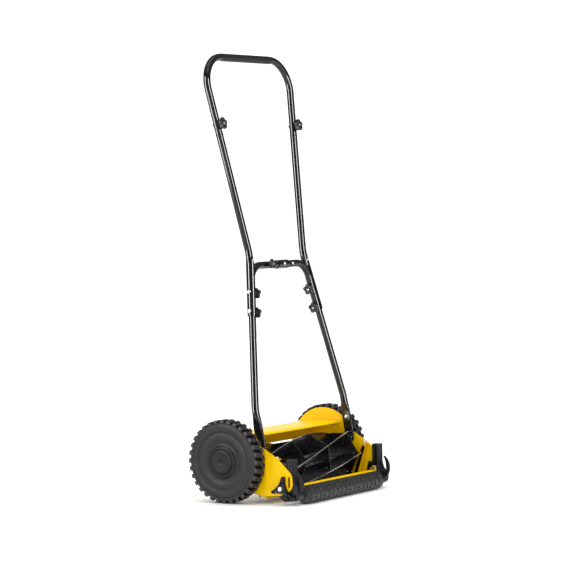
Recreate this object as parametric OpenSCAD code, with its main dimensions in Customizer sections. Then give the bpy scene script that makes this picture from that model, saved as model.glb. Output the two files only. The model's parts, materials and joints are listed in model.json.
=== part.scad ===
// Hand-pushed reel mower: two moulded wheels gear a six-blade reel, which shears the
// grass against a bed knife. A rear roller sets the cutting height. The bolted tube
// handle swings on the side plates.
// +X is to the right, +Y is the mowing direction, +Z is up. The origin is on the ground,
// under the middle of the whole machine.

/* [Wheels] */
// Radius of a wheel over its tread lugs
wheel_r = 105; // [100:1:110]
// Width over both hub caps
overall_w = 520; // [516:1:540]
// Tread lugs in each of a wheel's two rows
lug_count = 32; // [24:1:36]
// Height of a tread lug
lug_h = 6; // [4:0.5:8]

/* [Drive] */
// Gear module of the wheel's inside ring and the reel's pinion
gear_module = 2.5; // [2.5]
// Teeth of the ring inside each wheel
ring_teeth = 64; // [64]
// Teeth of each pinion on the reel shaft
pinion_teeth = 12; // [12]
// How far the reel's axis lies below the axle, seen from the axle, in degrees
reel_drop_angle = 21.5; // [18:0.5:25]

/* [Reel] */
// Radius of the cutting reel
reel_r = 68; // [60:1:70]
// Length of the reel's blades
blade_len = 396; // [380:2:396]
// Number of reel blades
blade_count = 6; // [6]
// Turn of a blade's helix along its length, in degrees
blade_twist = 85; // [60:5:110]

/* [Frame] */
// Distance between the middle planes of the two side plates
plate_gap = 426; // [426]
// Radius of a side plate's round part
plate_r = 97; // [94:1:98]

/* [Roller] */
// Radius of the rear roller
roller_r = 23; // [20:1:24]
// Length of the rear roller
roller_len = 340; // [320:2:344]
// Distance of the roller's axis behind the axle
roller_back = 189.5; // [188:0.5:191]

/* [Handle] */
// Forward lean of the handle, in degrees
handle_lean = 9.75; // [8:0.25:12]
// Radius of the handle's tubes
tube_r = 9.5; // [9:0.5:10]
// Distance of the grip bar above the handle's pivots, along the handle
grip_rise = 1009; // [980:1:1020]
// Distance of the cross tube above the pivots, along the handle
cross_rise = 469; // [460:1:475]

/* [Hidden] */
$fn = 64;

// Running clearance on radius of everything that turns or slides
fit = 0.06;
// Gap between neighbours that only lie close to each other
gap = 0.3;
// Half width and height of the ring that closes the seam at each end of a tube's bend
seam_w = 0.3;
seam_h = 0.02;

// The axle's place: the origin is under the middle of the depth, which ends at the roller
axle_y = (roller_back + roller_r - wheel_r) / 2;
axle_z = wheel_r;

// Side plates
plate_x = plate_gap / 2;
plate_t = 2;
plate_in = plate_x - plate_t / 2;
plate_out = plate_x + plate_t / 2;

// Wheels, from the inner side to the outer side
wheel_in = plate_out + 2.5;
wheel_face = overall_w / 2 - 4;
rim_r = wheel_r - lug_h;
rim_in_r = 92;
axle_r = 6;
hub_r = 15;
hub_out = wheel_face - 8;
cap_r = 33;

// Gears
ring_pitch_r = gear_module * ring_teeth / 2;
pinion_pitch_r = gear_module * pinion_teeth / 2;
pressure_angle = 20;
backlash = 0.3;
ring_x = plate_out + 8;
ring_w = 16;
gear_centre = ring_pitch_r - pinion_pitch_r;

// Reel axis, behind the axle and above the ground
reel_y = -gear_centre * cos(reel_drop_angle);
reel_z = axle_z - gear_centre * sin(reel_drop_angle);
shaft_r = 6;
bearing_r = 15;
blade_t = 3;
blade_in_r = 24;
blade_start = 199;
outer_spider_x = 186;
inner_spider_x = 60;
spider_t = 3;
spider_corner_r = 66;
slot_w = 3.8;
ear_end_r = 61;
ear_w = 12;
rivet_r = 2.5;
rivet_h = 1.2;
rivet_out = 8;
rivet_at_r = (blade_in_r + ear_end_r) / 2 + rivet_out;

// Bed knife, set below and behind the reel
knife_angle = 242;
knife_gap = 0.4;
knife_t = 3;
knife_w = 26;
knife_pivot_y = -72;
knife_pivot_z = 31;
carrier_x = 206;
adjuster_y = -132;
adjuster_z = 110;

// Guard over the reel
guard_top_z = 169;
guard_t = 2;
guard_rear_y = -53;
guard_front_y = 39;
guard_drop = 44;
guard_lip = 6;

// Roller frame
bracket_out = plate_in - gap;
bracket_in = 190;
roller_axle_r = 5;
height_y = -154;
height_z = 42;
height_up = 16;
height_down = 14;
m8_r = 4;
m6_r = 3;
catcher_hole_r = 3.5;
catcher_hole_y = -168;
catcher_hole_z = 17;
hook_in = 200;
hook_out = 208;
tie_y = -171;
tie_z = 45;
tie_screw_z = 51;
tie_screw_head_r = 4.5;
tie_t = 1.6;

// Handle, in its own leaning plane: x across, s up along the plane from the pivots
pivot_y = -88;
pivot_z = 128;
strap_t = 6;
strap_w = 26;
leg_x = 205;
leg_bend_s = 111;
tube_wall = 1.3;
flare_s = 485;
flare_x = 121;
grip_x = 199;
corner_r = 75;
leg_corner_r = 50;
spigot_s = 806;
spigot_len = 70;
cradle_t = 3;
cradle_end_s = 342;
stop_s = 54;
lower_bolt_s = 353;
upper_bolt_s = 402;
top_bolt_s = 833;
leg_slope = (leg_x - flare_x) / (flare_s - leg_bend_s);
upper_slope = (grip_x - flare_x) / (grip_rise - flare_s);
leg_angle = atan(leg_slope);
leg_cross_x = leg_x - leg_slope * (cross_rise - leg_bend_s);
sleeve_in_x = -10;
sleeve_out_x = 38;
clamp_knob_x = -52;

// Colours
yellow = "gold";
black = "#202022";
grey = "#48464a";
zinc = "silver";

// ---------------------------------------------------------------- shared helpers

// Everything below is drawn relative to the axle's Y
module from_axle() {
    translate([0, axle_y, 0]) children();
}

// Builds on the right (+X) side, and mirrors it for the left side
module side(s) {
    from_axle() mirror([s < 0 ? 1 : 0, 0, 0]) children();
}

// A flat (y, z) outline, given thickness from x0 to x1
module slab(x0, x1) {
    translate([x0, 0, 0]) rotate([90, 0, 90]) linear_extrude(x1 - x0) children();
}

// A rod or ring along X at (y, z)
module rod_x(x0, x1, r, y = 0, z = 0) {
    translate([x0, y, z]) rotate([0, 90, 0]) cylinder(r = r, h = x1 - x0);
}

// A turned shape about X at (y, z): its outline is (radius, x)
module turned(y, z) {
    translate([0, y, z]) rotate([0, 90, 0]) rotate_extrude() children();
}

// Places children in the handle's plane; +Z there points to the rear
module handle_plane() {
    from_axle() translate([0, pivot_y, pivot_z]) rotate([90 - handle_lean, 0, 0]) children();
}

module handle_side(s) {
    handle_plane() mirror([s < 0 ? 1 : 0, 0, 0]) children();
}

// ---------------------------------------------------------------- bent tubes

function unit(v) = v / norm(v);
function cross_2d(a, b) = a[0] * b[1] - a[1] * b[0];
function turn_angle(a, b, c) =
    let (u = unit(b - a), v = unit(c - b)) atan2(cross_2d(u, v), u * v);
// Length of straight tube that a bend takes up at point i
function bend_cut(p, radii, i) =
    i == 0 || i == len(p) - 1 ? 0
    : radii[i] * tan(abs(turn_angle(p[i - 1], p[i], p[i + 1])) / 2);

// A length of bar in the XY plane, from one point to another
module straight_bar(from, to, r) {
    along = to - from;
    translate([from[0], from[1], 0]) rotate([0, 90, atan2(along[1], along[0])])
        cylinder(r = r, h = norm(along));
}

// A round bar that follows points in the XY plane, with a bend radius at each point.
// A seam ring closes each place where a bend meets a straight length.
module bent_bar(p, radii, r) {
    for (i = [0 : len(p) - 2]) {
        along = unit(p[i + 1] - p[i]);
        from = p[i] + along * bend_cut(p, radii, i);
        to = p[i + 1] - along * bend_cut(p, radii, i + 1);
        straight_bar(from, to, r);
        if (i > 0) straight_bar(from - along * seam_w, from + along * seam_w, r + seam_h);
        if (i < len(p) - 2) straight_bar(to - along * seam_w, to + along * seam_w, r + seam_h);
    }
    for (i = [1 : 1 : len(p) - 2]) {
        turn = turn_angle(p[i - 1], p[i], p[i + 1]);
        into = unit(p[i] - p[i - 1]);
        side_way = sign(turn) * [-into[1], into[0]];
        centre = p[i] - into * bend_cut(p, radii, i) + side_way * radii[i];
        translate([centre[0], centre[1], 0])
            rotate(atan2(-side_way[1], -side_way[0]) + min(turn, 0))
            rotate_extrude(angle = abs(turn))
            translate([radii[i], 0]) circle(r = r);
    }
}

module bent_tube(p, radii, r, wall) {
    difference() {
        bent_bar(p, radii, r);
        bent_bar(p, radii, r - wall);
    }
}

// ---------------------------------------------------------------- gears

function inv_deg(a) = tan(a) * 180 / PI - a;
// Half of a tooth's angle at radius r, for a gear with this pitch radius
function half_tooth(r, teeth, pitch_r, slack) =
    90 / teeth - slack / 4 / pitch_r * 180 / PI
    + inv_deg(pressure_angle) - inv_deg(acos(pitch_r * cos(pressure_angle) / r));
function polar(r, a) = [r * cos(a), r * sin(a)];
function gear_outline(teeth, add, ded, slack) =
    let (
        pitch_r = gear_module * teeth / 2,
        base_r = pitch_r * cos(pressure_angle) + 0.01,
        root_r = pitch_r - ded,
        flank_r = max(base_r, root_r),
        tip_r = pitch_r + add,
        steps = 4,
        radii = [for (i = [0 : steps]) flank_r + (tip_r - flank_r) * i / steps],
        foot = half_tooth(flank_r, teeth, pitch_r, slack),
        has_foot = root_r < base_r
    )
    [for (t = [0 : teeth - 1])
        let (
            mid = t * 360 / teeth,
            up = [for (r = radii) polar(r, mid - half_tooth(r, teeth, pitch_r, slack))],
            down = [for (i = [steps : -1 : 0])
                polar(radii[i], mid + half_tooth(radii[i], teeth, pitch_r, slack))]
        )
        each concat(
            has_foot ? [polar(root_r, mid - foot)] : [], up, down,
            has_foot ? [polar(root_r, mid + foot)] : []
        )];

// ---------------------------------------------------------------- frame

// Outline of the side plate: a round cover behind the wheel, and a wing to the rear
module side_plate_outline() {
    tip_r = 22;
    translate([0, axle_z]) circle(r = plate_r);
    translate([-160.5, 62]) circle(r = tip_r);
    polygon([
        [-40, 140], [-89, 145], [-102, 136.5], [-123, 125.5], [-145.5, 109.5], [-164, 92.5],
        [-176, 77.6], [-160.5, 62], [-181, 54], [-178.5, 45], [-169.5, 34.5], [-148, 24],
        [-120, 20.5], [-97, 21], [-74, 25.5], [-40, 40]
    ]);
}

// Upright slot near the wing's rear edge
module wing_slot() {
    slot_y = -172.5;
    slot_r = 3;
    for (z = [47, 69]) translate([slot_y, z]) circle(r = slot_r);
    translate([slot_y - slot_r, 47]) square([2 * slot_r, 22]);
}

module side_plate(s) {
    color(yellow) side(s) {
        difference() {
            slab(plate_in, plate_out) side_plate_outline();
            rod_x(plate_in - 1, plate_out + 1, axle_r, 0, axle_z);
            rod_x(plate_in - 1, plate_out + 1, bearing_r, reel_y, reel_z);
            rod_x(plate_in - 1, plate_out + 1, m8_r, pivot_y, pivot_z);
            rod_x(plate_in - 1, plate_out + 1, m8_r, height_y, height_z);
            rod_x(plate_in - 1, plate_out + 1, m8_r, knife_pivot_y, knife_pivot_z);
            slab(plate_in - 1, plate_out + 1) wing_slot();
        }
        // Tab that holds the adjuster screw
        difference() {
            translate([plate_in - 14, adjuster_y - 8, adjuster_z + 2]) cube([14, 16, plate_t]);
            translate([plate_in - 7, adjuster_y, adjuster_z]) cylinder(r = m6_r, h = 6);
        }
    }
}

module top_guard() {
    color(yellow) from_axle() difference() {
        union() {
            slab(-plate_in, plate_in) polygon([
                [guard_rear_y, guard_top_z - guard_lip], [guard_rear_y, guard_top_z - 1],
                [guard_rear_y + 1, guard_top_z], [guard_front_y - 3, guard_top_z],
                [guard_front_y, guard_top_z - 3], [guard_front_y, guard_top_z - guard_drop],
                [guard_front_y - guard_t, guard_top_z - guard_drop],
                [guard_front_y - guard_t, guard_top_z - 4],
                [guard_front_y - 4, guard_top_z - guard_t],
                [guard_rear_y + guard_t, guard_top_z - guard_t],
                [guard_rear_y + guard_t, guard_top_z - guard_lip]
            ]);
            // End flanges, screwed to the side plates
            for (x0 = [-plate_in, plate_in - guard_t])
                slab(x0, x0 + guard_t)
                    polygon([[-40, 150], [-40, guard_top_z - 1], [28, guard_top_z - 1], [28, 150]]);
        }
        for (s = [-1, 1], y = [-30, 18])
            translate([s * plate_x - 6, y, 158]) rotate([0, 90, 0]) cylinder(r = m6_r, h = 12);
    }
}

// Four short screws hold the guard's flanges to the side plates
module guard_screws() {
    color(zinc) for (s = [-1, 1], y = [-30, 18])
        side(s) rod_x(plate_in - guard_t - 2, plate_in - guard_t, m6_r * 1.8, y, 158);
    color(zinc) for (s = [-1, 1], y = [-30, 18])
        side(s) rod_x(plate_in - guard_t, plate_in, m6_r, y, 158);
}

// Stub axles: headed pins through the side plates, with collars outside them
module stub_axles() {
    color(zinc) for (s = [-1, 1]) side(s) {
        rod_x(plate_in - 4, plate_in, axle_r * 1.7, 0, axle_z);
        rod_x(plate_in, hub_out + 4, axle_r, 0, axle_z);
        rod_x(plate_out, wheel_in - 0.2, axle_r * 1.7, 0, axle_z);
    }
}

// Spring clip and washer that keep each wheel on its axle
module axle_clips() {
    color(zinc) for (s = [-1, 1]) side(s) difference() {
        union() {
            rod_x(hub_out + 0.2, hub_out + 1.4, 11, 0, axle_z);
            rod_x(hub_out + 1.4, hub_out + 2.6, 8.5, 0, axle_z);
        }
        rod_x(hub_out, hub_out + 3, axle_r, 0, axle_z);
    }
}

module reel_bearing(s) {
    color(zinc) side(s) difference() {
        union() {
            rod_x(plate_in - 6, plate_out + 4, bearing_r, reel_y, reel_z);
            rod_x(plate_in - 2.5, plate_in, bearing_r + 4, reel_y, reel_z);
        }
        rod_x(plate_in - 7, plate_out + 5, shaft_r + fit, reel_y, reel_z);
    }
}

module adjuster_screws() {
    color(zinc) for (s = [-1, 1]) side(s) translate([plate_in - 7, adjuster_y, adjuster_z + gap]) {
        cylinder(r = m6_r, h = 9);
        translate([0, 0, 3.7]) cylinder(r = 5.2, h = 3.6, $fn = 6);
    }
}

module knife_pivot_bolts() {
    color(zinc) for (s = [-1, 1]) side(s) {
        rod_x(carrier_x - 5, plate_out, m8_r, knife_pivot_y, knife_pivot_z);
        rod_x(carrier_x - 7, carrier_x - 3.3, m8_r * 1.7, knife_pivot_y, knife_pivot_z);
    }
}

// Shoulder bolts that the handle's legs swing on
module handle_pivot_bolts() {
    color(zinc) for (s = [-1, 1]) side(s) {
        rod_x(leg_x - strap_t / 2 - 3, plate_out, m8_r, pivot_y, pivot_z);
        rod_x(leg_x - strap_t / 2 - 3.3, leg_x - strap_t / 2 - gap, m8_r * 2, pivot_y, pivot_z);
    }
}

// Carriage bolts for the height knobs: they pass through the slots in the brackets
module height_bolts() {
    color(zinc) for (s = [-1, 1]) side(s) {
        rod_x(bracket_out - 9, plate_out + 18, m8_r, height_y, height_z);
        rod_x(bracket_out - 12, bracket_out - 8 - gap, m8_r * 2, height_y, height_z);
    }
}

// ---------------------------------------------------------------- wheels

// One row of tread lugs, as a toothed outline round the rim
module lug_outline(shift) {
    pitch = 360 / lug_count;
    polygon([for (i = [0 : lug_count - 1]) let (a = (i + shift) * pitch) each [
        polar(rim_r, a - 0.36 * pitch), polar(wheel_r, a - 0.31 * pitch),
        polar(wheel_r, a), polar(wheel_r, a + 0.31 * pitch),
        polar(rim_r, a + 0.36 * pitch), polar(rim_r, a + 0.5 * pitch)
    ]]);
}

module wheel(s) {
    outer_row_w = 26;
    inner_row_w = 12;
    color(grey) side(s) {
        // Rim, web with its moulded rings, and hub
        turned(0, axle_z) polygon([
            [axle_r + fit, wheel_in], [hub_r, wheel_in], [hub_r, wheel_face - 9],
            [rim_in_r, wheel_face - 9], [rim_in_r, wheel_in], [rim_r, wheel_in],
            [rim_r, wheel_face - 3], [95, wheel_face - 1], [93, wheel_face],
            [74, wheel_face - 1], [72.5, wheel_face - 2.5], [71, wheel_face - 1],
            [52, wheel_face - 1.5], [50, wheel_face - 4], [44, wheel_face - 4.5],
            [40, wheel_face - 1], [cap_r + gap, wheel_face - 1],
            [cap_r + gap, hub_out + 6], [13, hub_out + 6], [13, hub_out], [axle_r + fit, hub_out]
        ]);
        slab(wheel_face - 3 - outer_row_w, wheel_face - 3) translate([0, axle_z]) tread_ring(0);
        slab(wheel_in, wheel_in + inner_row_w) translate([0, axle_z]) tread_ring(0.5);
    }
}

module tread_ring(shift) {
    difference() {
        lug_outline(shift);
        circle(r = rim_in_r + 2);
    }
}

// Toothed ring, fixed inside the wheel's rim
module drive_ring(s) {
    color(black) side(s)
        slab(ring_x, ring_x + ring_w) translate([0, axle_z]) difference() {
            circle(r = rim_in_r);
            rotate(180 + reel_drop_angle)
                polygon(gear_outline(ring_teeth, 1.25 * gear_module, 0.8 * gear_module, -backlash));
        }
}

module hub_cap(s) {
    color(grey) side(s) turned(0, axle_z) polygon([
        [0, hub_out + 6], [cap_r, hub_out + 6], [cap_r, wheel_face + 1],
        [cap_r - 3, wheel_face + 3.6], [20, wheel_face + 4], [0, wheel_face + 4]
    ]);
}

// ---------------------------------------------------------------- reel

module reel_shaft() {
    color(zinc) from_axle() rod_x(-ring_x - ring_w - 1, ring_x + ring_w + 1, shaft_r, reel_y, reel_z);
}

// Angle of a blade about the reel's axis, at x
function blade_angle(i, x) =
    blade_start - blade_twist * (x + blade_len / 2) / blade_len + i * 360 / blade_count;

module reel_blade(i) {
    color(black) from_axle() translate([-blade_len / 2, reel_y, reel_z]) rotate([90, 0, 90])
        rotate(blade_angle(i - 1, -blade_len / 2))
        linear_extrude(blade_len, twist = blade_twist, slices = 32, segments = 4)
        translate([blade_in_r, -blade_t / 2]) square([reel_r - blade_in_r, blade_t]);
}

// A small shape placed on blade i at x, turned to lie along the blade's helix there
module on_blade(i, x) {
    mean_r = (blade_in_r + ear_end_r) / 2;
    helix = atan(mean_r * blade_twist * PI / 180 / blade_len);
    translate([x, reel_y, reel_z]) rotate([90, 0, 90]) rotate(blade_angle(i, x))
        translate([mean_r, 0, 0]) rotate([helix, 0, 0]) children();
}

// Plate with a corner at each blade, slotted for the blades, and with an ear beside each slot
module spider(x) {
    ear_len = ear_end_r - blade_in_r - 2;
    ear_t = 2.5;
    boss_r = shaft_r + 7;
    nick_reach = blade_t / 2 + rivet_h + 1;
    color(black) from_axle() difference() {
        union() {
            rod_x(x - 5, x + 5, boss_r, reel_y, reel_z);
            slab(x - spider_t / 2, x + spider_t / 2) translate([reel_y, reel_z]) difference() {
                rotate(blade_angle(0, x)) circle(r = spider_corner_r, $fn = blade_count);
                // A slot for each blade, with a nick that clears the rivet's head
                for (i = [0 : blade_count - 1]) rotate(blade_angle(i, x)) {
                    translate([blade_in_r - 0.5, -slot_w / 2]) square([spider_corner_r, slot_w]);
                    translate([rivet_at_r - rivet_r - gap, -nick_reach])
                        square([2 * (rivet_r + gap), nick_reach]);
                }
            }
            for (i = [0 : blade_count - 1])
                on_blade(i, x) translate([-ear_len / 2, slot_w / 2, -ear_w / 2])
                    cube([ear_len, ear_t, ear_w]);
        }
        rod_x(x - 6, x + 6, shaft_r, reel_y, reel_z);
    }
}

// Rivet heads on the free face of each blade, one at each ear
module reel_rivets() {
    color(zinc) from_axle()
        for (x = [-outer_spider_x, -inner_spider_x, inner_spider_x, outer_spider_x])
            for (i = [0 : blade_count - 1])
                on_blade(i, x) translate([rivet_out, -blade_t / 2 - 0.4, 0]) rotate([90, 0, 0])
                    cylinder(r = rivet_r, h = rivet_h);
}

module pinion(s) {
    color(black) side(s) difference() {
        slab(ring_x - 1, ring_x + ring_w - 1) translate([reel_y, reel_z]) rotate(180 + reel_drop_angle)
            polygon(gear_outline(pinion_teeth, 0.8 * gear_module, 1.2 * gear_module, backlash));
        rod_x(ring_x - 2, ring_x + ring_w, shaft_r, reel_y, reel_z);
    }
}

// ---------------------------------------------------------------- bed knife

// Local axes at the cut: a points away from the reel's axis, b along the knife's width
module at_cut() {
    translate([reel_y, reel_z]) rotate(knife_angle) translate([reel_r + knife_gap, 0]) children();
}

module knife_carrier() {
    arm_t = 3;
    color(yellow) from_axle() {
        slab(-carrier_x, carrier_x) at_cut() difference() {
            translate([knife_t, -28]) square([7, 30]);
            translate([knife_t + 3, -25]) square([7, 24]);
        }
        for (s = [-1, 1]) mirror([s < 0 ? 1 : 0, 0, 0]) difference() {
            slab(carrier_x - arm_t, carrier_x) polygon([
                [-62, 24], [-62, 37], [-70, 42], [-97, 47], [-112, 60], [-124, adjuster_z],
                [-138, adjuster_z], [-127, 60], [-120, 34], [-94, 15]
            ]);
            rod_x(carrier_x - arm_t - 1, carrier_x + 1, m8_r + fit, knife_pivot_y, knife_pivot_z);
        }
    }
}

module bed_knife() {
    color(zinc) from_axle() slab(-blade_len / 2 - 2, blade_len / 2 + 2) at_cut() polygon([
        [0, 0], [1, 1.5], [knife_t, 1.5], [knife_t, -knife_w], [1, -knife_w]
    ]);
}

module knife_screws() {
    count = 6;
    pitch = 66;
    head_a = reel_r + knife_gap + knife_t + 3;
    color(zinc) from_axle() for (i = [0 : count - 1])
        translate([(i - (count - 1) / 2) * pitch, reel_y, reel_z]) rotate([90, 0, 90])
            rotate(knife_angle) translate([head_a, -13, 0]) rotate([0, 90, 0])
            cylinder(r = 4, h = 2.5);
}

// Flat black links on the inner faces of the carrier's arms
module adjuster_links() {
    color(black) for (s = [-1, 1]) side(s) slab(carrier_x - 6, carrier_x - 3.2)
        polygon([[-136, 104], [-128, 107], [-103, 36], [-111, 33]]);
}

// ---------------------------------------------------------------- roller frame

// Crescent hook for a grass catcher: open at its top
module hook_outline() {
    difference() {
        translate([-172, 52]) circle(r = 37);
        translate([-139, 52]) circle(r = 62);
    }
}

// Block round the end of the roller's axle, with its slanted foot and the tall wall that
// slides against the side plate
module bracket_block() {
    polygon([
        [-136, 32], [-140, 20.5], [-158, 8], [-192, 12], [-200, 18], [-202, 30], [-196, 42],
        [-184, 47], [-166, 47], [-166, 66], [-145, 66], [-140, 50]
    ]);
}

module roller_bracket(s) {
    wall_t = 8;
    column_rear = -183.7;
    column_front = -165;
    column_top = 114;
    color(black) side(s) difference() {
        union() {
            slab(bracket_in, bracket_out) bracket_block();
            slab(bracket_in, bracket_out) translate([column_rear, 40])
                square([column_front - column_rear, column_top - 40]);
            slab(hook_in, hook_out) hook_outline();
        }
        // Long recess in the column's inner face
        translate([bracket_in - 1, column_rear + 4, 58]) cube([7, 10.5, 50]);
        rod_x(bracket_in - 1, bracket_out + 1, roller_axle_r, -roller_back, roller_r);
        rod_x(bracket_in - 1, bracket_out + 1, catcher_hole_r, catcher_hole_y, catcher_hole_z);
        rod_x(bracket_in - 1, bracket_in + 10, m6_r, tie_y, tie_screw_z);
        // Pocket and slot for the height bolt
        translate([bracket_in - 1, height_y - 9, -1])
            cube([bracket_out - bracket_in - wall_t + 1, 40, 100]);
        slab(bracket_out - wall_t - 1, bracket_out + 1) {
            for (z = [height_z - height_up, height_z + height_down])
                translate([height_y, z]) circle(r = m8_r + fit);
            translate([height_y - m8_r - fit, height_z - height_up])
                square([2 * (m8_r + fit), height_up + height_down]);
        }
    }
}

// Folded strip between the brackets, just above the roller, with a turned-up tab at each end
module tie_bar() {
    strip_w = 16;
    tab_w = 12;
    tab_h = 15;
    end_x = bracket_in - gap;
    color(yellow) from_axle() difference() {
        union() {
            slab(-end_x, end_x) polygon([
                [tie_y, tie_z - 5], [tie_y, tie_z], [tie_y + strip_w, tie_z],
                [tie_y + strip_w, tie_z - 8], [tie_y + strip_w - tie_t, tie_z - 8],
                [tie_y + strip_w - tie_t, tie_z - tie_t], [tie_y + tie_t, tie_z - tie_t],
                [tie_y + tie_t, tie_z - 5]
            ]);
            for (x0 = [-end_x, end_x - tie_t]) slab(x0, x0 + tie_t)
                translate([tie_y - tab_w / 2, tie_z - 3]) square([tab_w, tab_h]);
        }
        rod_x(-bracket_in, bracket_in, m6_r + gap, tie_y, tie_screw_z);
    }
}

module tie_bar_screws() {
    seat_x = bracket_in - gap - tie_t;
    color(zinc) for (s = [-1, 1]) side(s) {
        rod_x(seat_x - 3, seat_x, tie_screw_head_r, tie_y, tie_screw_z);
        rod_x(seat_x, bracket_in + 9, m6_r, tie_y, tie_screw_z);
    }
}

module roller_axle() {
    color(zinc) from_axle() rod_x(-bracket_out + 5, bracket_out - 5, roller_axle_r, -roller_back, roller_r);
}

// Ribbed roller: wide bands with narrow grooves between them
module roller() {
    bands = 17;
    band_w = roller_len / bands;
    groove_w = 3;
    groove_d = 2;
    color(grey) from_axle() turned(-roller_back, roller_r) polygon(concat(
        [[roller_axle_r + fit, -roller_len / 2]],
        [for (i = [0 : bands - 1]) let (x0 = -roller_len / 2 + i * band_w) each [
            [roller_r - groove_d, x0 + (i == 0 ? 0 : groove_w / 2)],
            [roller_r, x0 + groove_w / 2 + 1], [roller_r, x0 + band_w - groove_w / 2 - 1],
            [roller_r - groove_d, x0 + band_w - (i == bands - 1 ? 0 : groove_w / 2)]
        ]],
        [[roller_axle_r + fit, roller_len / 2]]
    ));
}

// ---------------------------------------------------------------- handle

// Where the leg's sloping line is, at height s
function leg_line_x(s) = leg_x - leg_slope * (s - leg_bend_s);
function upper_line_x(s) = flare_x + upper_slope * (s - flare_s);

// Runs children along an axis square to the leg's slope at height s; +Z points outwards
module leg_bolt_axis(s) {
    translate([leg_line_x(s), s, 0]) rotate([0, 90, leg_angle]) children();
}

// Flattened lower end of a leg, with its round foot
module leg_strap() {
    translate([leg_x - strap_t / 2, 0, 0]) rotate([0, 90, 0]) {
        cylinder(r = strap_w / 2, h = strap_t);
        translate([-strap_w / 2, 0, 0]) cube([strap_w, 66, strap_t]);
    }
    // The strap rounds up into the tube
    hull() {
        translate([leg_x - strap_t / 2, 60, -strap_w / 2]) cube([strap_t, 4, strap_w]);
        translate([leg_x, 92, 0]) rotate([-90, 0, 0]) cylinder(r = tube_r, h = 2, $fn = 32);
    }
}

module leg_holes() {
    translate([leg_x - 10, 0, 0]) rotate([0, 90, 0]) cylinder(r = m8_r + fit, h = 20);
    translate([leg_x - 10, stop_s, 0]) rotate([0, 90, 0]) cylinder(r = m6_r, h = 20);
    for (s = [lower_bolt_s, upper_bolt_s])
        leg_bolt_axis(s) translate([0, 0, -20]) cylinder(r = m6_r, h = 40);
}

// A leg's tube: up from the strap, in along the slope, then across to end_x
module leg_tube(end_x) {
    foot_bend_r = 90;
    bent_bar([[leg_x, 93], [leg_x, leg_bend_s + 1], [leg_cross_x, cross_rise], [end_x, cross_rise]],
        [0, foot_bend_r, leg_corner_r, 0], tube_r);
}

// The left leg's cross tube is a socket for the right leg's thinner end
module left_leg() {
    color(black) handle_side(-1) difference() {
        union() {
            leg_tube(-sleeve_out_x + 4);
            leg_strap();
        }
        leg_holes();
        translate([-sleeve_out_x - 1, cross_rise, 0]) rotate([0, 90, 0])
            cylinder(r = tube_r - tube_wall, h = 106);
        for (x = [-clamp_knob_x, -(sleeve_in_x + 24)])
            translate([x, cross_rise, -20]) cylinder(r = m6_r, h = 40);
    }
}

module right_leg() {
    spigot_r = tube_r - tube_wall - 0.2;
    color(black) handle_side(1) difference() {
        union() {
            leg_tube(sleeve_out_x + 12);
            leg_strap();
            translate([-64, cross_rise, 0]) rotate([0, 90, 0])
                cylinder(r = spigot_r, h = 64 + sleeve_out_x + 13);
        }
        leg_holes();
        for (x = [clamp_knob_x, sleeve_in_x + 24, 56])
            translate([x, cross_rise, -20]) cylinder(r = m6_r, h = 40);
    }
}

// Cradle that lies round the outer half of a leg
module cradle() {
    cradle_len = 172;
    translate([leg_line_x(cradle_end_s), cradle_end_s, 0]) rotate([-90, 0, leg_angle])
        difference() {
            cylinder(r = tube_r + cradle_t, h = cradle_len);
            translate([0, 0, -1]) cylinder(r = tube_r + 0.1, h = cradle_len + 2);
            translate([-30, -20, -1]) cube([31, 40, cradle_len + 2]);
        }
}

// Middle tube: its lower end is pressed into a cradle, its upper end is a spigot
module middle_tube(s) {
    joint_s = 499;
    foot_x = upper_line_x(joint_s) + 4;
    color(black) handle_side(s) difference() {
        union() {
            bent_bar([[foot_x, joint_s], [upper_line_x(560), 560], [upper_line_x(spigot_s), spigot_s]],
                [0, 150, 0], tube_r);
            straight_bar([upper_line_x(spigot_s - 1), spigot_s - 1],
                [upper_line_x(spigot_s + spigot_len), spigot_s + spigot_len], tube_r - tube_wall - 0.1);
            cradle();
        }
        for (b = [lower_bolt_s, upper_bolt_s])
            leg_bolt_axis(b) translate([0, 0, -2]) cylinder(r = m6_r, h = 40);
        translate([upper_line_x(top_bolt_s), top_bolt_s, -20]) cylinder(r = m6_r, h = 40);
    }
}

module upper_handle() {
    color(black) handle_plane() difference() {
        bent_tube([
            [-upper_line_x(spigot_s), spigot_s], [-grip_x, grip_rise],
            [grip_x, grip_rise], [upper_line_x(spigot_s), spigot_s]
        ], [0, corner_r, corner_r, 0], tube_r, tube_wall);
        for (s = [-1, 1])
            translate([s * upper_line_x(top_bolt_s), top_bolt_s, -20]) cylinder(r = m6_r, h = 40);
    }
}

module handle_grip() {
    grip_len = 220;
    grip_wall = 0.8;
    bore_gap = 0.15;
    color(grey) handle_plane() translate([-grip_len / 2, grip_rise, 0]) rotate([0, 90, 0])
    difference() {
        cylinder(r = tube_r + grip_wall, h = grip_len);
        translate([0, 0, -1]) cylinder(r = tube_r + bore_gap, h = grip_len + 2);
    }
}

module clamp_sleeve() {
    color(black) handle_plane() difference() {
        translate([sleeve_in_x, cross_rise, 0]) rotate([0, 90, 0])
            cylinder(r = tube_r + 2, h = sleeve_out_x - sleeve_in_x);
        translate([sleeve_in_x - 1, cross_rise, 0]) rotate([0, 90, 0])
            cylinder(r = tube_r, h = sleeve_out_x - sleeve_in_x + 2);
        translate([sleeve_in_x + 24, cross_rise, -20]) cylinder(r = m6_r, h = 40);
    }
}

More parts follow.
